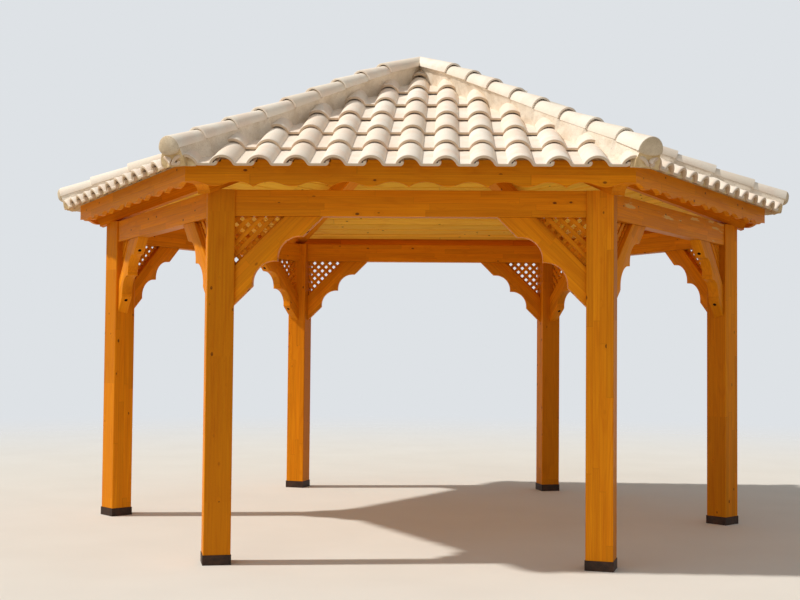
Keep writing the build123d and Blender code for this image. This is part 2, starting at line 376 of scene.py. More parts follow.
class Shader:
    """Short calls for the nodes of one material, by kind without ShaderNode."""

    def __init__(self, name):
        self.material = bpy.data.materials.new(name)
        self.material.use_nodes = True
        self.tree = self.material.node_tree
        self.surface = self.tree.nodes["Principled BSDF"]

    def node_of(self, kind, inputs=None, **settings):
        made = self.tree.nodes.new("ShaderNode" + kind)
        for key, value in settings.items():
            setattr(made, key, value)
        for key, value in (inputs or {}).items():
            self.feed(made.inputs[key], value)
        return made

    def node(self, kind, inputs=None, output=0, **settings):
        return self.node_of(kind, inputs, **settings).outputs[output]

    def feed(self, socket, value):
        if isinstance(value, bpy.types.NodeSocket):
            self.tree.links.new(value, socket)
        else:
            socket.default_value = value

    def sum(self, kind, a, b=0.0, c=0.0):
        return self.node("Math", {0: a, 1: b, 2: c}, operation=kind)

    def times(self, a, b):
        return self.sum("MULTIPLY", a, b)

    def noise(self, vector, scale, detail=2.0, roughness=0.5):
        inputs = {"Vector": vector, "Scale": scale, "Detail": detail, "Roughness": roughness}
        return self.node("TexNoise", inputs)

    def stretch(self, vector, along, across):
        return self.node("Mapping", {"Vector": vector, "Scale": (along, across, across)})

    def span(self, value, low, high, start=0.0, end=1.0):
        """Smooth change from start to end while value goes from low to high."""
        inputs = {"Value": value, "From Min": low, "From Max": high, "To Min": start, "To Max": end}
        return self.node("MapRange", inputs, interpolation_type="SMOOTHSTEP")

    def mix(self, share, a, b, blend="MIX"):
        inputs = {0: share, 6: a, 7: b}
        return self.node("Mix", inputs, output=2, data_type="RGBA", blend_type=blend)

    def split(self, vector):
        return self.node_of("SeparateXYZ", {0: vector}).outputs

    def coat(self, tone, roughness, specular):
        self.feed(self.surface.inputs["Base Color"], tone)
        self.feed(self.surface.inputs["Roughness"], roughness)
        self.surface.inputs["Specular IOR Level"].default_value = specular

    def bump(self, height, strength, distance):
        inputs = {"Height": height, "Strength": strength, "Distance": distance}
        self.feed(self.surface.inputs["Normal"], self.node("Bump", inputs))


def ring_vector(first, grain, stack, centre):
    """Grain coordinates of the members that repeat every 60 degrees, the first one at an angle.

    grain and stack are directions in the member that lies along +X.
    """
    def build(shader):
        place = shader.node("TexCoord", output="Object")
        xyz = shader.split(place)
        angle = shader.sum("ARCTAN2", xyz[1], xyz[0])
        step = 2 * half_angle
        count = shader.sum("ROUND", shader.sum("DIVIDE", shader.sum("SUBTRACT", angle, first), step))
        back = shader.sum("MULTIPLY_ADD", count, -step, -first)
        inputs = {"Vector": place, "Angle": back}
        turned = shader.node("VectorRotate", inputs, rotation_type="Z_AXIS")
        axes = Matrix((grain, stack, grain.cross(stack)))
        inputs = {"Vector": turned, "Location": -(axes @ centre), "Rotation": axes.to_euler()}
        lying = shader.node("Mapping", inputs)
        member_shift = 3.17
        apart = shader.node("CombineXYZ", {0: shader.times(count, member_shift)})
        return shader.node("VectorMath", {0: lying, 1: apart}, operation="ADD")
    return build


pine_light = colour(236, 148, 19)
pine_dark = colour(216, 125, 12)
glue_brown = colour(112, 54, 8)
knot_brown = colour(84, 40, 12)
bare_pine = colour(222, 180, 104)


def piece_vector(shader):
    return shader.node("Attribute", output="Vector", attribute_name="grain")


def wood(name, vector_of, lamella, joint, worn=0.0, knots=0.5, light=pine_light, dark=pine_dark):
    """Stained laminated pine. Lamellas stack along y, with finger joints along x."""
    shader = Shader(name)
    vector = vector_of(shader)
    xyz = shader.split(vector)
    across = shader.sum("DIVIDE", xyz[1], lamella)
    row = shader.sum("FLOOR", across)
    row_shift = shader.node("TexWhiteNoise", {"W": row}, noise_dimensions="1D")
    along = shader.sum("MULTIPLY_ADD", row_shift, 7.0, shader.sum("DIVIDE", xyz[0], joint))
    column = shader.sum("FLOOR", along)
    cell = shader.node("CombineXYZ", {0: column, 1: row})
    lot = shader.node_of("TexWhiteNoise", {"Vector": cell})
    shift = shader.node("VectorMath", {0: lot.outputs["Color"], "Scale": 9.0}, operation="SCALE")
    own = shader.node("VectorMath", {0: vector, 1: shift}, operation="ADD")

    spots = shader.stretch(own, 8.0, 13.0)
    voronoi = shader.node_of("TexVoronoi", {"Vector": spots, "Scale": 1.0})
    chosen = shader.node("SeparateColor", {0: voronoi.outputs["Color"]})
    chosen = shader.span(chosen, 1 - knots - 0.02, 1 - knots + 0.02)
    knot = shader.times(shader.span(voronoi.outputs["Distance"], 0.12, 0.07), chosen)
    halo = shader.times(shader.span(voronoi.outputs["Distance"], 0.38, 0.05), chosen)

    rings = shader.noise(shader.stretch(own, 0.55, 7.0), 1.0, 1.0)
    rings = shader.sum("MULTIPLY_ADD", halo, 0.08, rings)
    rings = shader.sum("PINGPONG", shader.times(rings, 22.0), 1.0)
    late = shader.span(rings, 0.55, 0.98)
    streak = shader.noise(shader.stretch(own, 2.2, 110.0), 1.0, 4.0, 0.6)
    cloud = shader.noise(shader.stretch(own, 1.3, 6.0), 1.0, 3.0)

    tone = shader.mix(shader.span(streak, 0.25, 0.75), dark, light)
    tone = shader.mix(shader.span(cloud, 0.3, 0.75, 0.0, 0.45), tone, dark)
    deep = shader.mix(1.0, tone, colour(222, 190, 150), "MULTIPLY")
    tone = shader.mix(shader.times(late, 0.24), tone, deep)
    board = shader.span(lot.outputs["Value"], 0.0, 1.0, 0.90, 1.06)
    board = shader.node("CombineColor", {0: board, 1: board, 2: board})
    tone = shader.mix(1.0, tone, board, "MULTIPLY")
    edge = shader.sum("PINGPONG", across, 0.5)
    glue = shader.span(edge, 0.030, 0.012)
    end = shader.span(shader.sum("PINGPONG", along, 0.5), 0.004, 0.0015)
    seam = shader.times(shader.sum("MAXIMUM", glue, shader.times(end, 0.7)), 0.22)
    tone = shader.mix(seam, tone, glue_brown)
    tone = shader.mix(shader.times(halo, 0.35), tone, dark)
    tone = shader.mix(shader.times(knot, 0.85), tone, knot_brown)
    if worn:
        flakes = shader.noise(shader.stretch(vector, 3.2, 26.0), 1.0, 6.0, 0.62)
        upper = shader.span(xyz[1], 0.03, 0.11, -0.12, 0.0)
        flaked = shader.span(shader.sum("ADD", flakes, upper), 0.575, 0.605, 0.0, worn)
        tone = shader.mix(flaked, tone, bare_pine)
    shader.coat(tone, shader.span(streak, 0.2, 0.8, 0.42, 0.56), 0.06)
    height = shader.sum("MULTIPLY_ADD", streak, 0.5, shader.times(late, -0.35))
    height = shader.sum("SUBTRACT", height, shader.times(seam, 1.2))
    shader.bump(height, 0.35, 0.0012)
    return shader.material


def clay(name, light, dark, pink):
    """Unglazed clay, mottled from tile to tile, with fine grit."""
    shader = Shader(name)
    vector = piece_vector(shader)
    tone = shader.node("Attribute", output="Fac", attribute_name="tone")
    wide = shader.noise(vector, 6.0, 4.0, 0.6)
    fine = shader.noise(vector, 260.0, 3.0, 0.7)
    specks = shader.noise(vector, 120.0, 2.0, 0.5)
    made = shader.mix(shader.span(tone, 0.0, 1.0), light, dark)
    made = shader.mix(shader.span(wide, 0.42, 0.66, 0.0, 0.8), made, pink)
    made = shader.mix(shader.span(specks, 0.66, 0.74, 0.0, 0.28), made, colour(176, 142, 116))
    made = shader.mix(shader.span(fine, 0.3, 0.7, 0.10, 0.0), made, colour(150, 120, 100))
    shader.coat(made, 0.86, 0.25)
    shader.bump(shader.sum("ADD", fine, wide), 0.30, 0.0012)
    return shader.material


def mortar(name, light, dark):
    """Rough lime mortar with trowel marks, pores and pale bloom."""
    shader = Shader(name)
    vector = piece_vector(shader)
    wide = shader.noise(vector, 9.0, 5.0, 0.62)
    grit = shader.noise(vector, 190.0, 4.0, 0.7)
    pores = shader.node_of("TexVoronoi", {"Vector": vector, "Scale": 95.0})
    pits = shader.span(pores.outputs["Distance"], 0.22, 0.08)
    made = shader.mix(shader.span(wide, 0.34, 0.68), light, dark)
    made = shader.mix(shader.span(grit, 0.45, 0.75, 0.0, 0.35), made, colour(160, 138, 112))
    # Darker pores: painted shade in the pits, which the bump also dents.
    made = shader.mix(shader.times(pits, 0.4), made, colour(132, 110, 88))
    shader.coat(made, 0.92, 0.2)
    height = shader.sum("MULTIPLY_ADD", grit, 0.8, shader.times(wide, 1.5))
    height = shader.sum("SUBTRACT", height, pits)
    shader.bump(height, 0.75, 0.0026)
    return shader.material


def painted_steel(name, light, dark, roughness):
    """Dark paint on steel, dusty and a little worn."""
    shader = Shader(name)
    place = shader.node("TexCoord", output="Object")
    dust = shader.noise(place, 22.0, 5.0, 0.6)
    grit = shader.noise(place, 420.0, 2.0, 0.5)
    made = shader.mix(shader.span(dust, 0.35, 0.72), dark, light)
    made = shader.mix(shader.span(grit, 0.60, 0.72, 0.0, 0.35), made, colour(128, 110, 92))
    shader.coat(made, shader.span(dust, 0.3, 0.7, roughness, roughness + 0.15), 0.2)
    shader.bump(shader.sum("ADD", dust, grit), 0.25, 0.0008)
    return shader.material


beam_lamella = 0.03875
# Ceiling pine, paler than the other pine: partly the boards' own tone, partly painted bounce light from the
# floor.
pale_ceiling_with_painted_bounce = colour(255, 204, 72)
deeper_ceiling_with_painted_bounce = colour(246, 184, 48)
up = Vector((0, 0, 1))
sideways = Vector((0, 1, 0))
down_hip = Vector((hip_cos, 0, -hip_sin))
off_hip = Vector((hip_sin, 0, hip_cos))
post_stack = polar(1, post_turn)
post_face_middle = Vector((post_circle, 0, 0)) - post_stack * post_side / 2
post_vector = ring_vector(0.0, up, post_stack, post_face_middle)
beam_vector = ring_vector(half_angle, sideways, up, Vector((plan_apothem, 0, beam_bottom)))
fascia_vector = ring_vector(half_angle, sideways, up, Vector((fascia_apothem, 0, fascia_top)))
rafter_vector = ring_vector(0.0, down_hip, off_hip, Vector((0, 0, ceiling_peak)))
boss_vector = ring_vector(0.0, up, sideways, Vector((0, 0, 0)))
post_wood = wood("post_pine", post_vector, 0.040, 0.85)
beam_wood = wood("beam_pine", beam_vector, beam_lamella, 0.62, knots=0.7)
worn_wood = wood("worn_beam_pine", beam_vector, beam_lamella, 0.62, worn=0.9)
fascia_wood = wood("fascia_pine", fascia_vector, 0.062, 1.6, knots=0.85)
rafter_wood = wood("rafter_pine", rafter_vector, 0.040, 0.9)
boss_wood = wood("boss_pine", boss_vector, 0.045, 0.9)
brace_wood = wood("brace_pine", piece_vector, 0.040, 0.50, knots=0.2)
strip_wood = wood("lattice_pine", piece_vector, 0.050, 1.9, knots=0.1)
filler_wood = wood("filler_pine", piece_vector, 0.09, 1.4)
# The ceiling boards' paler pine carries painted bounce light from the floor.
ceiling_wood_with_painted_bounce = wood("ceiling_pine_with_painted_bounce", piece_vector, board_lamella, 2.1, 0.0, 0.9, pale_ceiling_with_painted_bounce, deeper_ceiling_with_painted_bounce)
tile_clay = clay("roof_tile_clay", colour(246, 236, 222), colour(238, 224, 206), colour(242, 220, 200))
# Darker clay for the tiles' undersides and end faces: painted shade in the gaps under the noses and on the
# nose faces.
painted_shade_clay = clay("tile_painted_shade_clay", colour(222, 200, 172), colour(210, 186, 156), colour(218, 188, 160))
hip_clay = clay("hip_tile_clay", colour(248, 240, 226), colour(238, 226, 208), colour(240, 222, 204))
bed_mortar = mortar("bed_mortar", colour(242, 230, 212), colour(224, 208, 186))
end_mortar = mortar("end_mortar", colour(224, 206, 178), colour(200, 180, 150))
eaves_mortar = mortar("eaves_mortar", colour(226, 200, 154), colour(204, 172, 122))
shoe_steel = painted_steel("shoe_steel", colour(72, 50, 38), colour(46, 31, 23), 0.5)
# Dark steel for the screw heads, also laid on the walls of the screw holes as painted shade in the bores.
dark_screws_and_painted_bore_shade = painted_steel("dark_screws_and_painted_bore_shade", colour(58, 40, 28), colour(32, 20, 14), 0.4)


# CAD nodes that stay

def dress(node, material):
    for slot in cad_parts[node].material_slots:
        slot.material = material


for place in post_angles:
    dress(f"post_{place}", post_wood)
for place in bay_angles:
    dress(f"beam_{place}", beam_wood)
    dress(f"fascia_{place}", fascia_wood)
dress("beam_front_right", worn_wood)
dress("hip_rafters", rafter_wood)
dress("roof_boss", boss_wood)
dress("post_shoes", shoe_steel)


# Roof tiles

def arc(middle, radius, start, end, steps, side=1):
    """Points and normals along an arc. Side -1 turns the normals towards the middle."""
    line = []
    for step in range(steps + 1):
        angle = start + (end - start) * step / steps
        normal = Vector((math.cos(angle), math.sin(angle)))
        line.append((middle + normal * radius, normal * side))
    return line


def tile_line():
    """Middle line of a tile's wall across the tile, as points and normals."""
    foot_angle = math.pi - math.asin((roll_foot - roll_middle) / roll_radius)
    join_angle = math.atan2(fillet_rise, fillet_reach)
    fillet_middle = Vector((fillet_reach, nose_half_wall + fillet_radius))
    lip_middle = Vector((pan_end, nose_half_wall + lip_radius))
    line = arc(Vector((0, roll_middle)), roll_radius, foot_angle, join_angle, 22)
    line += arc(fillet_middle, fillet_radius, math.pi + join_angle, 1.5 * math.pi, 5, -1)[1:]
    line += arc(lip_middle, lip_radius, 1.5 * math.pi, 2 * math.pi, 4, -1)
    line.append((Vector((pan_end + lip_radius, lip_height)), Vector((-1, 0))))
    return line


def tile_rows():
    """Distances up from the nose and half walls, above and below, at the rings of a tile."""
    half = tile_wall / 2
    nose = nose_half_wall
    return [
        (0.0, nose - 0.0058, nose - 0.0012),
        (0.0012, nose - 0.0032, nose),
        (0.0034, nose - 0.0009, nose),
        (0.0065, nose, nose),
        (nose_length, nose, nose),
        (nose_length + 0.004, half, half),
        (tile_length / 2, half, half),
        (tile_length, half, half),
    ]


def make_tile(along, across, lift, turn, rise):
    """One roof tile, its nose at a distance down the slope. rise gives the lift for a place across."""
    top, under = [], []
    for back, above, below in tile_rows():
        for side, half, grid in ((1, above, top), (-1, below, under)):
            row = []
            for point, normal in tile_line():
                flat = point + normal * half * side
                sink = lift - tile_tilt * back + rise(flat.x) * back
                side_place = across + flat.x + turn * back
                row.append(slope_frame @ Vector((along - back, side_place, flat.y + sink)))
            grid.append(row)
    tile = slab(top, under)
    tile.normal_update()
    tile.faces.ensure_lookup_table()
    count = (len(top) - 1) * (len(top[0]) - 1)
    # The undersides and the end faces take the darker clay: painted shade.
    for face in tile.faces[count:2 * count]:
        face.material_index = 1
    down_slope = slope_frame.to_3x3() @ Vector((1, 0, 0))
    for face in tile.faces:
        if abs(face.normal.dot(down_slope)) > 0.75:
            face.material_index = 1
    return tile


def tile_rise(column, from_hip):
    """Lift for each metre along a tile, by the place across it: tiles beside a hip ride up."""
    if abs(from_hip) > end_tile_reach:
        return lambda x: 0.0
    side = (column > 0) - (column < 0)
    if side == 0:
        return lambda x: end_tile_rise
    return lambda x: end_tile_rise * smooth_step(-0.09, -0.01, side * x)


def make_slope(place, angle):
    piece = Piece(angle)
    across_slope = Matrix.Rotation(math.pi / 2, 4, "Z")
    for course in range(course_count):
        nose = first_nose + course * tile_gauge + course_shifts[course]
        reach = nose * math.tan(half_angle)
        for column in range(-last_column - 1, last_column + 2):
            across = column * roll_pitch
            if across - roll_radius > reach or across + roll_pitch < -reach:
                continue
            along = nose / roof_cos + piece.random.uniform(-nose_play, nose_play)
            lift = piece.random.uniform(-lift_play, lift_play) + (top_tile_lift if course == 0 else 0.0)
            turn = piece.random.uniform(-turn_play, turn_play)
            across += piece.random.uniform(-side_play, side_play)
            from_hip = nose * math.sin(half_angle) - abs(across) * math.cos(half_angle)
            tile = make_tile(along, across, lift, turn, tile_rise(column, from_hip))
            cut_to_sector(tile, tile_inset)
            if tile.faces:
                piece.add(tile, across_slope)
    materials = [tile_clay, painted_shade_clay]
    name = f"roof_tiles_{place}"
    piece.finish(name, angle - front_angle, materials, [f"tiles_{place}"], 40)


def eave_profile():
    """Heights of the tiles' undersides over the eaves, from the lip in a roll to the next lip."""
    inner = roll_radius - tile_wall / 2
    play = 0.001
    start = pan_end + lip_radius + tile_wall / 2 - roll_pitch + play
    points = [(start, 0.0)]
    steps = 16
    for step in range(steps + 1):
        x = start + play + (inner * 0.9 - start) * step / steps
        points.append((x, roll_middle + math.sqrt(inner**2 - x**2)))
    points.append((fillet_reach, 0.0))
    points.append((start + roll_pitch - play, 0.0))
    return points


def under_tiles(distance, height):
    """Height just under the lowest tiles, at a distance from the axis and a place in their line."""
    back = (last_nose - distance) / roof_cos
    return nose_plane_peak - slope * distance + (height - tile_tilt * back - filler_gap) / roof_cos


def make_filler(name, angle, material, rough, setback=0.0, top_height=tile_depth):
    """Board or mortar that closes the rolls over the fascia."""
    piece = Piece(angle + 1)
    rows = {}
    distances = {"front": fascia_apothem - setback, "back": fascia_back + setback * back_share}
    for end, distance in distances.items():
        top, low = [], []
        for column in range(-last_column - 1, last_column + 2):
            for x, height in eave_profile():
                across = column * roll_pitch + x
                ragged = rough * noise.noise(Vector((across * 30, distance * 40, 1.7)))
                out = distance
                if end == "front":
                    out += rough * (0.6 + noise.noise(Vector((across * 22, 5.1, angle))))
                top.append(Vector((across, -out, under_tiles(out, min(height, top_height)))))
                low.append(Vector((across, -out, fascia_top + seat_gap + abs(ragged) * 0.5)))
        middle = []
        for a, b in zip(top, low):
            proud = rough * noise.noise(Vector((a.x * 50, 2.2, 8.1))) if end == "front" else 0.0
            middle.append((a + b) / 2 - Vector((0, proud, 0)))
        rows[end] = [top, middle, low]
    part = slab(rows["front"], rows["back"])
    cut_to_sector(part, seat_gap)
    piece.add(part)
    piece.finish(name, angle - front_angle, [material])


def make_plugs(name, angle, columns):
    """Mortar in the open ends of some rolls."""
    piece = Piece(angle + 8)
    for column in columns:
        rows = []
        setback = corner_setback if abs(column) == last_column else plug_setback
        for distance in (last_nose - setback, fascia_apothem - 0.010):
            base = nose_plane_peak - slope * distance
            top, low = [], []
            for x, height in eave_profile()[1:-2]:
                across = column * roll_pitch + x
                proud = 0.005 * noise.noise(Vector((across * 31, 4.4, angle))) if not rows else 0
                lower = 0.004 * noise.noise(Vector((across * 24, distance * 9, angle + 2))) - 0.004
                top.append(Vector((across, -distance - proud, under_tiles(distance, height))))
                low.append(Vector((across, -distance - proud, base + lower)))
            middle = [(a + b) / 2 - Vector((0, 0 if rows else 0.004, 0)) for a, b in zip(top, low)]
            rows.append([top, middle, low])
        plug = slab(*rows)
        cut_to_sector(plug, tile_inset)
        if plug.faces:
            piece.add(plug)
    piece.finish(name, angle - front_angle, [eaves_mortar])


for place, angle in bay_angles.items():
    make_slope(place, angle)
    if place == "front":
        make_filler("eaves_board_front", angle, filler_wood, 0.0, 0.0, tooth_height)
        make_filler("eaves_filler_front", angle, eaves_mortar, 0.004, tooth_setback)
        make_plugs("roll_plugs_front", angle, (-last_column, last_column))
    else:
        make_filler(f"eaves_filler_{place}", angle, eaves_mortar, 0.006)
        make_plugs(f"roll_plugs_{place}", angle, range(-last_column, last_column + 1))


# Hips

def bulge_at(out):
    """How far the run of hip tiles stands over the straight line at a level distance."""
    if out <= 0:
        return 0.0
    return hip_bulge * smooth_step(*bulge_rise, out) * smooth_step(*bulge_fall, out)


def hip_tile_section(low_end, back, low_radius=hip_low_radius):
    """Radius and height of the centre of a hip tile at a distance up from its low end."""
    is_top = low_end < top_hip_end + 0.001
    lap = top_hip_lap if is_top else hip_lap
    reach = low_end if is_top else hip_gauge
    radius = low_radius + (hip_high_radius - low_radius) * min(back / hip_tile_length, 1.0)
    share = back * hip_cos / reach
    bulge = bulge_at(low_end) * (1 - share) + bulge_at(low_end - reach) * share
    return radius, hip_rise - hip_clearance - lap * share + bulge - radius


def make_hip_tile(low_end, length, low_radius):
    """One half-round hip tile with its low end at a level distance from the axis."""
    half = hip_wall / 2
    rows = [
        (0.0, half - 0.0022),
        (0.0008, half - 0.0006),
        (0.0026, half),
        (length, half),
    ]
    top, under = [], []
    for back, wall in rows:
        radius, height = hip_tile_section(low_end, back, low_radius)
        line = arc(Vector((0, height)), radius - half, math.pi, 0, 30)
        along = low_end / hip_cos - back
        top.append([hip_frame @ Vector((along, *(p + n * wall))) for p, n in line])
        under.append([hip_frame @ Vector((along, *(p - n * wall))) for p, n in line])
    return slab(top, under)


def cut_to_hip(part):
    """Mitre the top of a hip that lies along +X against its neighbours."""
    for side in (-1, 1):
        outwards = polar(1, side * (half_angle + math.pi / 2))
        cut(part, -outwards * seat_gap / 2, outwards)


def mortar_section(along, angle):
    """Points across a hip's mortar, on top and underneath."""
    out = along * hip_cos
    spread = smooth_step(*foot_spread, out)
    foot = mortar_foot_at_peak + (mortar_foot - mortar_foot_at_peak) * spread
    at_end = smooth_step(*foot_end, out)
    foot += (mortar_foot_at_end - foot) * at_end
    foot_height = -side_fall * foot - pan_drop - mortar_foot_drop
    foot_height += (mortar_end_height - foot_height) * at_end
    depth = mortar_depth - mortar_thinning * smooth_step(*thin_start, out)
    depth += mortar_end_depth * smooth_step(*deep_end, out)
    low_end = min((end for end in hip_ends if end >= out), default=hip_end)
    radius, edge_height = hip_tile_section(low_end, max(low_end - out, 0) / hip_cos)
    edge = radius - mortar_inset
    edge_height -= mortar_drop
    columns = 13
    top, under = [], []
    for side in (-1, 1):
        upper, lower = [], []
        for step in range(columns + 1):
            share = step / columns
            spot = Vector((out * 16, side * (share * 1.6 + 3), angle))
            rough = (0.0045 * noise.noise(spot) + 0.0022 * noise.noise(spot * 3.1)) * min(share * 4, 1)
            lateral = edge + (foot - edge) * share ** (0.5 + spread) + rough
            height = edge_height + (foot_height - edge_height) * share
            upper.append((side * lateral, height))
            within = foot * (0.2 + 0.8 * share)
            lower.append((side * within, min(-depth, foot_height - 0.003)))
        if side == -1:
            upper.reverse()
            lower.reverse()
        top += upper
        under += lower
    return top, under


def make_mortar(place, angle):
    piece = Piece(angle + 2)
    start = -0.05
    end = hip_end / hip_cos - 0.004
    top, under = [], []
    for row in range(mortar_rows + 1):
        along = start + (end - start) * row / mortar_rows
        upper, lower = mortar_section(along, angle)
        top.append([hip_frame @ Vector((along, *p)) for p in upper])
        under.append([hip_frame @ Vector((along, *p)) for p in lower])
    bed = slab(top, under)
    cut_to_hip(bed)
    eaves_start = fascia_apothem / math.cos(half_angle) + 0.045
    for face in bed.faces:
        middle = face.calc_center_median()
        edge_line = roll_peak - hip_slope * middle.x
        if middle.x > eaves_start and middle.z < edge_line - 0.022:
            face.material_index = 1
    piece.add(bed)
    piece.finish(f"hip_mortar_{place}", angle, [bed_mortar, eaves_mortar], (), 60)


def make_dome(place, angle):
    """Rough mortar that closes the low end of a hip."""
    end = hip_end / hip_cos
    bulge = flat_domes.get(place, dome_length)
    is_flat = place in flat_domes
    end_radius = wide_end_radius if is_flat else hip_low_radius
    lower_half = 0.25 if is_flat else 0.5
    middle = hip_rise - end_radius - 0.001
    rings = []
    profile = [(1.0, 0.03)]
    steps = 12
    for step in range(1, steps + 1):
        turn = math.pi / 2 * step / steps
        profile.append((math.cos(turn), math.sin(turn)))
    profile += [(-0.35, 0.995), (-0.6, 0.97), (-0.75, 0.90), (-1.5, 0.88)]
    for forward, wide in profile:
        ring = []
        for step in range(40):
            turn = 2 * math.pi * step / 40
            spot = Vector((forward * 2.2, wide * math.cos(turn) * 3.2, wide * math.sin(turn) * 3.2 + angle))
            shrink = 1 - 0.028 * (1 + noise.noise(spot)) - 0.022 * abs(noise.noise(spot * 3.3))
            radius = end_radius * wide * shrink
            reach = bulge * forward * shrink if forward > 0 else dome_length * forward
            rise = radius * math.sin(turn) * (1.0 if turn < math.pi else lower_half)
            ring.append(hip_frame @ Vector((end + reach, radius * math.cos(turn), middle + rise)))
        rings.append(ring)
    return loft(rings)


def make_hip(place, angle):
    piece = Piece(angle + 3)
    for number, low_end in enumerate(hip_ends):
        first = number == 0
        wide = low_end == hip_end and place in flat_domes
        low_radius = wide_end_radius if wide else hip_low_radius
        tile = make_hip_tile(low_end, top_hip_length if first else hip_tile_length, low_radius)
        if first:
            cut_to_hip(tile)
        piece.add(tile)
    piece.finish(f"hip_run_{place}", angle, [hip_clay], ["hip_tiles"], 40)
    plug = Piece(angle + 4)
    plug.add(make_dome(place, angle))
    plug.finish(f"hip_end_{place}", angle, [end_mortar], (), 60)


for place, angle in post_angles.items():
    make_hip(place, angle)
    make_mortar(place, angle)


# Ceiling

def make_board(low, high):
    """One ceiling board between two distances down the slope."""
    section = [
        (low, board_thickness),
        (high, board_thickness),
        (high, board_bevel),
        (high - board_bevel, 0.0),
        (low + board_bevel, 0.0),
        (low, board_bevel),
    ]
    rings = []
    for side in (-1, 1):
        ring = []
        for along, rise in section:
            out = along * roof_cos + rise * roof_sin
            height = ceiling_peak - along * roof_sin + rise * roof_cos
            ring.append(Vector((side * (out * math.tan(half_angle) - seat_gap), -out, height)))
        rings.append(ring)
    return loft(rings)


def make_ceiling(place, angle):
    piece = Piece(angle + 5)
    end = (board_edge - board_thickness * roof_sin) / roof_cos
    count = round(end / board_width)
    width = end / count
    for number in range(count):
        low = max(number * width + board_joint / 2, board_start)
        board = make_board(low, (number + 1) * width - board_joint / 2)
        piece.add(board, Matrix.Translation((0, -(number + 0.5) * board_lamella, 0)))
    name = f"ceiling_boards_{place}"
    piece.finish(name, angle - front_angle, [ceiling_wood_with_painted_bounce], [f"ceiling_{place}"])


for place, angle in bay_angles.items():
    make_ceiling(place, angle)


# Knee braces

def brace_outline(side):
    """Outline of a knee brace in x and z, run past the post's face to be cut to it."""
    bite_start = brace_outer_leg - brace_end - brace_step
    cusp = bite_start - bite_radius
    inner = brace_end + bite_radius
    over = 0.025
    steps = 20
    line = [(cusp, cusp), (cusp, inner)]
    for step in range(1, steps + 1):
        turn = math.pi / 2 * step / steps
        line.append((bite_start - bite_radius * math.cos(turn), inner - bite_radius * math.sin(turn)))
    line += [(bite_start + brace_step, brace_end), (brace_outer_leg, 0), (brace_inner_leg, 0)]
    line += [(-over, brace_inner_leg + over), (-over, brace_outer_leg + over)]
    line += [(brace_end, bite_start + brace_step)]
    for step in range(steps):
        turn = math.pi / 2 * step / steps
        line.append((inner - bite_radius * math.cos(turn), bite_start - bite_radius * math.sin(turn)))
    line.append((inner, cusp))
    return [(side * (corner_x - along), beam_bottom - seat_gap - down) for along, down in line]


def drill(part, middle, normal):
    """Sink a screw hole into the flat face round a point."""
    flat = [face for face in part.faces if face.normal.dot(normal) > 0.99]
    face = min(flat, key=lambda f: (f.calc_center_median() - middle).length)
    corners = [loop.vert for loop in face.loops]
    first = (corners[1].co - corners[0].co).normalized()
    second = face.normal.cross(first)
    inwards = -face.normal
    part.faces.remove(face)
    steps = 24
    rings = []
    head = (screw_radius * 0.75, screw_depth * 0.8)
    for radius, depth in ((screw_radius, 0.0), (screw_radius, screw_depth), head):
        ring = []
        for step in range(steps):
            turn = math.pi + 2 * math.pi * step / steps
            spot = first * math.cos(turn) + second * math.sin(turn)
            ring.append(part.verts.new(middle + spot * radius + inwards * depth))
        rings.append(ring)
    quarter = steps // 4
    for number, corner in enumerate(corners):
        fan = [rings[0][(number * quarter + k) % steps] for k in range(quarter + 1)]
        for a, b in zip(fan, fan[1:]):
            part.faces.new((corner, b, a))
        part.faces.new((corner, corners[(number + 1) % 4], fan[-1]))
    # The wall of each hole and the head take the dark steel: real steel on the head, painted shade on the
    # wooden wall of the bore.
    for ring, after in zip(rings, rings[1:]):
        for i in range(steps):
            part.faces.new((ring[i - 1], ring[i], after[i], after[i - 1])).material_index = 1
    part.faces.new(rings[-1]).material_index = 1


def make_braces(place, angle):
    piece = Piece(angle + 6)
    for side in (-1, 1):
        near = -plan_apothem - brace_thickness / 2
        part = plank(brace_outline(side), near, near + brace_thickness)
        point, facing = post_face(side)
        cut(part, point, -facing)
        ease(part, arris)
        bmesh.ops.recalc_face_normals(part, faces=part.faces)
        screw_offset = brace_end * screw_share
        for along, down in (
            (brace_outer_leg - screw_offset, screw_offset),
            (screw_offset, brace_outer_leg - screw_offset),
        ):
            middle = Vector((side * (corner_x - along), -plan_apothem, beam_bottom - seat_gap - down))
            drill(part, middle, Vector((-side * diagonal, 0, -diagonal)))
        corner = Vector((side * corner_x, -plan_apothem, beam_bottom))
        grain = Vector((-side * diagonal, 0, diagonal))
        stack = Vector((-side * diagonal, 0, -diagonal))
        piece.add(part, grain_frame(grain, stack, corner))
    materials = [brace_wood, dark_screws_and_painted_bore_shade]
    name = f"knee_braces_{place}"
    piece.finish(name, angle - front_angle, materials, [f"braces_{place}"])


# Lattices

def clip(points, edge, inwards):
    """Part of a flat convex outline on the side of a line that inwards points to."""
    kept = []
    for here, there in zip(points, points[1:] + points[:1]):
        a = (here - edge).dot(inwards)
        b = (there - edge).dot(inwards)
        if a >= 0:
            kept.append(here)
        if (a > 0) != (b > 0) and a != b:
            kept.append(here.lerp(there, a / (a - b)))
    return kept


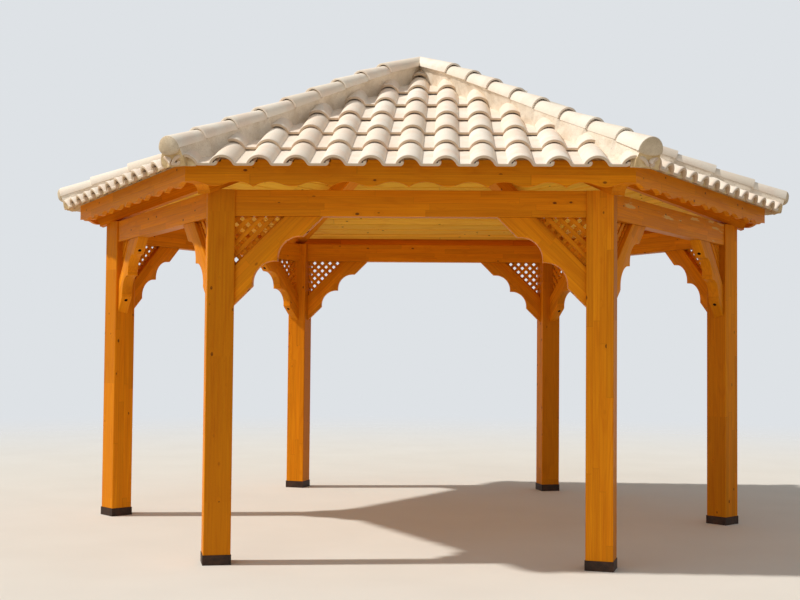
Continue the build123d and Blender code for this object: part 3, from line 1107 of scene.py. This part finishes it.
def make_lattices(place, angle):
    piece = Piece(angle + 7)
    top = beam_bottom - seat_gap
    reach = (brace_inner_leg - seat_gap / diagonal) * diagonal
    count = math.ceil(reach / strip_pitch)
    for side in (-1, 1):
        corner = Vector((side * corner_x, top))
        inwards = Vector((-side * diagonal, -diagonal))
        brace_edge = corner + inwards * reach
        point, facing = post_face(side)
        for along_brace in (True, False):
            near = -plan_apothem - strip_thickness if along_brace else -plan_apothem
            for number in range(0 if along_brace else -count, count + 1):
                if along_brace:
                    middle = corner + inwards * (reach - number * strip_pitch)
                    line = Vector((side * diagonal, -diagonal))
                else:
                    middle = corner + inwards * reach / 2
                    middle += Vector((-side * diagonal, diagonal)) * number * strip_pitch
                    line = inwards
                across = Vector((-line.y, line.x)) * strip_width / 2
                ahead = line * reach * 1.6
                outline = [middle - ahead - across, middle + ahead - across]
                outline += [middle + ahead + across, middle - ahead + across]
                outline = clip(outline, corner, Vector((0, -1)))
                outline = clip(outline, brace_edge, -inwards) if outline else outline
                if len(outline) < 3:
                    continue
                part = plank([tuple(p) for p in outline], near + 0.0001, near + strip_thickness - 0.0001)
                cut(part, point, -facing)
                if not part.faces:
                    continue
                ease(part, 0.0012, 1)
                grain = Vector((line.x, 0, line.y))
                stack = Vector((-line.y, 0, line.x))
                start = Vector((middle.x, near, middle.y)) - stack * 0.02
                piece.add(part, grain_frame(grain, stack, start))
    name = f"lattice_strips_{place}"
    piece.finish(name, angle - front_angle, [strip_wood], [f"lattice_{place}"])


for place, angle in bay_angles.items():
    make_braces(place, angle)
    make_lattices(place, angle)


# Floor, camera and light

def make_floor():
    shader = Shader("pale_floor")
    place = shader.node("TexCoord", output="Object")
    mottle = shader.noise(place, 1.4, 4.0)
    made = shader.mix(mottle, colour(226, 222, 214), colour(216, 211, 202))
    shader.coat(made, 0.9, 0.1)
    distance = shader.node("VectorMath", {0: place}, output="Value", operation="LENGTH")
    fade = shader.span(distance, 3.6, 14.0)
    clear = shader.node("BsdfTransparent")
    both = shader.node("MixShader", {0: fade, 1: shader.surface.outputs[0], 2: clear})
    output = shader.tree.nodes["Material Output"]
    shader.feed(output.inputs["Surface"], both)
    disc = bmesh.new()
    bmesh.ops.create_circle(disc, cap_ends=True, segments=96, radius=18.0)
    mesh = bpy.data.meshes.new("floor")
    disc.to_mesh(mesh)
    disc.free()
    mesh.materials.append(shader.material)
    add_object("floor", mesh)


def make_camera():
    """Camera of the photograph, from a fit to the posts, beams, fascia corners and peak."""
    place = Vector((0.2392, -9.1400, 1.2875))
    yaw, pitch, roll = (math.radians(value) for value in (-2.343, 2.109, 0.517))
    focal_pixels = 1224.2
    image_width = 800
    forward = Vector((math.sin(yaw) * math.cos(pitch), math.cos(yaw) * math.cos(pitch), math.sin(pitch)))
    level = Vector((math.cos(yaw), -math.sin(yaw), 0))
    upright = level.cross(forward)
    right = level * math.cos(roll) + upright * math.sin(roll)
    above = upright * math.cos(roll) - level * math.sin(roll)
    camera = add_object("camera", bpy.data.cameras.new("camera"))
    axes = Matrix((right, above, -forward)).transposed().to_4x4()
    camera.matrix_world = Matrix.Translation(place) @ axes
    camera.data.lens = focal_pixels * camera.data.sensor_width / image_width
    bpy.context.scene.camera = camera


def make_light():
    world = bpy.data.worlds.new("studio")
    bpy.context.scene.world = world
    world.use_nodes = True
    tree = world.node_tree
    link = tree.links.new
    soft = tree.nodes["Background"]
    soft.inputs["Color"].default_value = (1.0, 1.0, 1.0, 1.0)
    soft.inputs["Strength"].default_value = 0.34
    backdrop = tree.nodes.new("ShaderNodeBackground")
    backdrop.inputs["Color"].default_value = colour(222, 226, 230)
    path = tree.nodes.new("ShaderNodeLightPath")
    seen = path.outputs["Is Camera Ray"]
    for ray in ("Is Glossy Ray", "Is Transmission Ray"):
        either = tree.nodes.new("ShaderNodeMath")
        either.operation = "ADD"
        either.use_clamp = True
        link(seen, either.inputs[0])
        link(path.outputs[ray], either.inputs[1])
        seen = either.outputs[0]
    both = tree.nodes.new("ShaderNodeMixShader")
    link(seen, both.inputs[0])
    link(soft.outputs[0], both.inputs[1])
    link(backdrop.outputs[0], both.inputs[2])
    link(both.outputs[0], tree.nodes["World Output"].inputs["Surface"])

    add_sun("key", Vector((-0.662, -0.086, 0.745)), 3.1, 2, (1.0, 0.965, 0.91))
    add_sun("fill", Vector((-0.45, -0.80, 0.40)), 0.41, 60, (1.0, 0.98, 0.95))


def add_sun(name, source, energy, angle, tint):
    """Distant lamp whose light comes from a direction, softened over an angle in degrees."""
    lamp = bpy.data.lights.new(name, "SUN")
    lamp.energy = energy
    lamp.angle = math.radians(angle)
    lamp.color = tint
    add_object(name, lamp).rotation_euler = source.to_track_quat("Z", "Y").to_euler()


make_floor()
make_camera()
make_light()
bpy.context.scene.view_settings.view_transform = "Standard"
